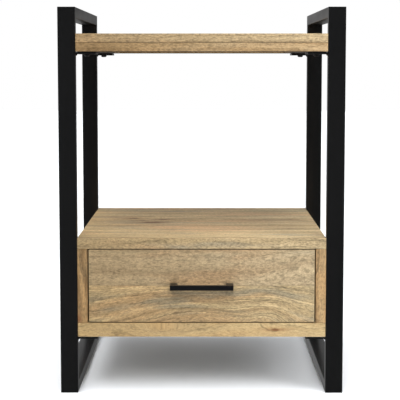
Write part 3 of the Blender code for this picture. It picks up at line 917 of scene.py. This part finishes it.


# The pair of brightnesses at the table's left and right on each board below is painted light, darker towards
# the left
def finish_tabletop():
    """The top's glued panel, and the lipping under it with near-black painted shade on its underside and
    lowest edge.
    """
    low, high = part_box("tabletop_panel")
    panel = wood(
        "mango_panel", LYING, TOP_WOOD, 3.1, strips=(low.y, high.y, 6), flecks=1.2, streaks=0.5, lines=0.4,
        wander=0.005, tone=(0.68, 0.99),
    )
    finish_node("tabletop_panel", panel)
    # Painted shade: the lipping's underside and the lowest 1.4 mm of its faces made near black, as the shade
    # under the top
    underside = (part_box("tabletop_lipping_front")[0].z, 0.0014, PAINTED_UNDERSIDE_SHADE)
    for number, side in enumerate(("front", "back")):
        node = f"tabletop_lipping_{side}"
        grain = wood(
            f"mango_{node}", LYING, LIPPING_WOOD, 6.4 + number * 2.9, gloss=0.03, underside=underside,
            # The left end darker: partly painted shade as the light falls off to the left, partly browner
            # wood
            shades=spots(node, ((0.0, 0.5, 0.3), (0.13, 0.2, 0.05), 0.74)),
            flecks=1.1, streaks=0.6, wander=0.006, tone=(0.72, 1.00),
        )
        finish_node(node, grain)
    for number, (side, _) in enumerate(SIDES):
        node = f"tabletop_lipping_{side}"
        grain = wood(f"mango_{node}", LYING_DEEP, LIPPING_WOOD, 11.4 + number * 2.3, underside=underside)
        finish_node(node, grain)


def finish_shelf():
    """The cabinet's top: glued strips with knots and an arch at the left, painted shade on its front edge,
    and painted light on its middle where the tabletop's shadow falls.
    """
    node = "cabinet_top"
    low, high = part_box(node)
    whole_edge = ((0.5, 0.0, 0.5), (2.0, 0.003, 0.5))
    shelf = wood(
        "mango_shelf", LYING, SHELF_WOOD, 8.3, strips=(low.y, high.y, 6),
        flecks=1.2, streaks=1.05, lines=0.8, wander=0.006, tone=(0.96, 1.09),
        knots=spots(
            node,
            ((0.195, 0.610, 1.0), (0.0080, 0.007, 0.02)),
            ((0.232, 0.545, 1.0), (0.0060, 0.004, 0.02)),
            ((0.268, 0.470, 1.0), (0.0105, 0.009, 0.02)),
            ((0.300, 0.475, 1.0), (0.0060, 0.007, 0.02)),
            ((0.330, 0.570, 1.0), (0.0055, 0.005, 0.02)),
        ),
        swirls=spots(node, ((0.28, 0.52, 1.0), (0.09, 0.03, 0.05), 0.012)),
        shades=spots(
            node,
            # Painted shade on the front edge, more at its right and left ends, and painted light over the
            # middle where the tabletop's shadow falls; the rest is the wood's own figure
            (*whole_edge, 0.695),
            ((0.9, 0.0, 0.5), (0.12, 0.003, 0.5), 0.88),
            ((0.0, 0.0, 0.5), (0.20, 0.05, 0.04), 0.75),
            ((0.50, 0.55, 1.0), (0.14, 0.20, 0.02), 1.16),
            ((0.80, 0.56, 1.0), (0.050, 0.020, 0.02), 0.74),
            ((0.88, 0.27, 1.0), (0.055, 0.018, 0.02), 0.80),
            ((0.10, 0.72, 1.0), (0.070, 0.060, 0.02), 0.88),
        ),
        calm=spots(node, (*whole_edge, 0.75))[0],
    )
    finish_node(node, shelf)


def finish_cabinet():
    """The cabinet's bottom, with its underside bare, its sides and its plywood back."""
    node = "cabinet_bottom"
    knot = (0.80, 0.0, 0.52)
    bottom = wood(
        "mango_bottom", FACING, BOTTOM_WOOD, 14.6, underside=(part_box(node)[0].z, 0.0006, UNLACQUERED),
        flecks=0.8, streaks=0.5, lines=0.8, wander=0.004, rings=260.0, tone=(0.68, 0.89),
        knots=spots(node, (knot, (0.0072, 0.012, 0.0022))),
        swirls=spots(
            node,
            (knot, (0.050, 0.05, 0.010), 0.008),
            ((0.36, 0.0, 0.45), (0.050, 0.06, 0.013), 0.018),
            ((0.97, 0.0, 0.90), (0.070, 0.06, 0.018), 0.020),
        ),
    )
    finish_node(node, bottom)
    corner_knots = spots("cabinet_side_left", ((0.05, 0.0, 0.05), (0.0035, 0.012, 0.0040)))
    # side, seed, streaks, painted light (the left board painted darker, the right one about plain), knots
    sides = (("left", 17.2, 1.5, 0.68, corner_knots), ("right", 20.5, 0.9, 1.02, ()))
    for side, seed, streaks, tone, knots in sides:
        grain = wood(
            f"mango_side_{side}", STANDING, SIDE_WOOD, seed, flecks=1.0, rings=120.0,
            ripple=0.4, tone=(tone, tone), streaks=streaks, knots=knots,
        )
        finish_node(f"cabinet_side_{side}", grain)
    finish_node("cabinet_back", wood("ply_back", FACING, BOX_WOOD, 36.0, flecks=0.5, rings=40.0))


# Height of the joint between the drawer front's two staves, as a share of the front's height
FRONT_JOINT = 0.5061


def finish_drawer_front():
    """Two staves: a lively lower one with arches, and a calm upper one, glued half way up."""
    node = "drawer_front"
    lower = Board(
        FACING, FRONT_LOWER_WOOD, 21.5,
        flecks=1.2, streaks=1.25, lines=1.1, gleam=0.27, wander=0.005, rings=210.0, tone=(0.73, 1.01),
        swirls=spots(
            node,
            ((0.47, 0.0, 0.00), (0.125, 0.06, 0.060), -0.054),
            ((0.80, 0.0, 0.05), (0.050, 0.06, 0.045), -0.026),
        ),
        shades=spots(
            node,
            # Partly painted shadow under the handle, partly darker mottled wood
            ((0.50, 0.0, 0.43), (0.060, 0.06, 0.009), 0.79),
            ((0.17, 0.0, 0.475), (0.085, 0.06, 0.0045), 1.42),
        ),
        calm=spots(node, ((0.86, 0.0, 0.20), (0.090, 0.06, 0.060), 0.50))[0],
    )
    upper = Board(
        FACING, FRONT_UPPER_WOOD, 44.2,
        flecks=1.15, streaks=0.30, lines=0.25, wander=0.005, ripple=0.4, tone=(0.70, 0.98),
        swirls=spots(node, ((0.97, 0.0, 0.88), (0.060, 0.06, 0.030), -0.016)),
        shades=spots(node, ((0.17, 0.0, 0.53), (0.110, 0.06, 0.0040), 0.88)),
    )
    joint = inside(node, (0.5, 0.0, FRONT_JOINT)).z
    finish_node(node, wood_pair("mango_drawer_front", FACING, joint, lower, upper))


def finish_drawer_box():
    """The plain pale box behind the front: sides, back and plywood bottom."""
    for number, node in enumerate(("drawer_side_left", "drawer_side_right")):
        grain = wood(f"box_{node}", FACING_SIDE, BOX_WOOD, 25.0 + number * 2.0, flecks=0.4, streaks=0.5)
        finish_node(node, grain)
    finish_node("drawer_back", wood("box_drawer_back", FACING, BOX_WOOD, 31.0, flecks=0.4, streaks=0.5))
    finish_node("drawer_bottom", wood("ply_bottom", LYING, BOX_WOOD, 33.0, flecks=0.5, rings=40.0))


# ---------------------------------------------------------------- floor, lights and camera

FLOOR_LIGHT = (0.872, 0.892, 0.920)
FLOOR_DARK = (0.852, 0.872, 0.900)
FLOOR_GAP = 0.0002
# What each kind of ray meets: name, strength in front of the table, behind it, and gain toward the right.
# The first one also holds for every kind that is not named.
WORLD_LIGHT = (
    ("Is Diffuse Ray", 0.50, 0.60, 0.0),
    ("Is Glossy Ray", 0.05, 0.34, -1.0),
    ("Is Camera Ray", 1.0, 1.0, 0.0),
)
# The softbox: name, place, aim, size, power
SOFTBOX = ("key_right", (1.25, -1.45, 1.25), (0.1, -0.2, 0.4), 0.9, 16.0)
# Together the two suns are an overhead light that is long from front to back: name, strength, lean in degrees
SUNS = (("overhead_front", 1.96, 50), ("overhead_top", 2.39, 10))
SUN_SPREAD = math.radians(45)
SUN_SIDE = math.radians(-5)
# The camera: from the middle of the table's front, in metres, and its turns in radians
LENS_MM = 122.66
SENSOR_MM = 36.0
CAMERA_RIGHT = 0.0038
CAMERA_AWAY = 2.4143
CAMERA_HEIGHT = 0.5945
CAMERA_DOWN = 0.1010
CAMERA_ROLL = 0.0028


def make_floor():
    """A white floor just under the rails, with hardly any cloud in it."""
    shape = bmesh.new()
    bmesh.ops.create_grid(shape, x_segments=1, y_segments=1, size=14.0)
    bmesh.ops.translate(shape, verts=shape.verts, vec=(0, 0, CAD_LOW.z - FLOOR_GAP))
    mesh = bpy.data.meshes.new("floor")
    shape.to_mesh(mesh)
    shape.free()
    graph = Graph("floor_white")
    soft = graph.noise(graph.place, 3.0, 2.0)
    white = graph.mix(soft, FLOOR_DARK, FLOOR_LIGHT)
    mesh.materials.append(graph.finish(white, 0.7, soft, 0.0, specular=0.2))
    floor = bpy.data.objects.new("floor", mesh)
    bpy.context.scene.collection.objects.link(floor)
    floor.visible_glossy = False


def make_world():
    """A white studio, brighter behind the table; polished surfaces see it dimmed, as through a tent."""
    scene = bpy.context.scene
    scene.view_settings.view_transform = "Standard"
    scene.world = bpy.data.worlds.new("studio")
    scene.world.use_nodes = True
    scene.world.node_tree.nodes.clear()
    graph = Nodes(scene.world.node_tree)
    to_right, to_back, _ = graph.split(graph.node("ShaderNodeTexCoord").outputs["Generated"])
    rays = graph.node("ShaderNodeLightPath")
    seen = None
    for ray, front, back, right in WORLD_LIGHT:
        depth = graph.step(to_back, -0.6, 0.8, front, back)
        gain = graph.linear(to_right, right, 1.0)
        background = graph.node("ShaderNodeBackground")
        graph.put(background.inputs["Color"], (1.0, 1.0, 1.0, 1.0))
        graph.put(background.inputs["Strength"], graph.times(depth, gain))
        if seen is None:
            seen = background.outputs[0]
            continue
        choose = graph.node("ShaderNodeMixShader")
        for socket, value in zip(choose.inputs, (rays.outputs[ray], seen, background.outputs[0])):
            graph.put(socket, value)
        seen = choose.outputs[0]
    graph.put(graph.node("ShaderNodeOutputWorld").inputs[0], seen)


def add_lamp(name, lamp, turn):
    """A light in the scene that shows in no reflection."""
    holder = bpy.data.objects.new(name, lamp)
    holder.rotation_euler = turn
    bpy.context.scene.collection.objects.link(holder)
    holder.visible_glossy = False
    return holder


def make_lamps():
    """A softbox at the front right and a broad overhead light."""
    name, place, aim, size, power = SOFTBOX
    softbox = bpy.data.lights.new(name, "AREA")
    softbox.shape = "DISK"
    softbox.size = size
    softbox.energy = power
    turn = (Vector(aim) - Vector(place)).to_track_quat("-Z", "Y").to_euler()
    add_lamp(name, softbox, turn).location = place
    for name, strength, lean in SUNS:
        sun = bpy.data.lights.new(name, "SUN")
        sun.energy = strength
        sun.angle = SUN_SPREAD
        add_lamp(name, sun, (math.radians(lean), SUN_SIDE, 0.0))


def make_camera():
    """The photo's view: a long lens from a little under the height of the top, looking slightly down."""
    camera = bpy.data.cameras.new("camera")
    camera.sensor_width = SENSOR_MM
    camera.lens = LENS_MM
    holder = bpy.data.objects.new("camera", camera)
    bpy.context.scene.collection.objects.link(holder)
    holder.location = (CAMERA_RIGHT, FRONT_Y - CAMERA_AWAY, CAMERA_HEIGHT)
    holder.rotation_euler = (math.pi / 2 - CAMERA_DOWN, 0.0, CAMERA_ROLL)
    bpy.context.scene.camera = holder


make_camera()
make_world()
make_lamps()
make_floor()
coat = powder_coat("powder_coat", COAT_BLACK)
oxide = black_oxide()
bright = zinc()
make_side_frames(coat)
make_welds(coat)
make_bolts(oxide)
make_screws(bright)
make_slides(bright, rubber())
make_handle(powder_coat("handle_coat", HANDLE_BLACK))
finish_tabletop()
finish_shelf()
finish_cabinet()
finish_drawer_front()
finish_drawer_box()
for node_name in NODES:
    if "plate" in node_name:
        finish_node(node_name, coat)
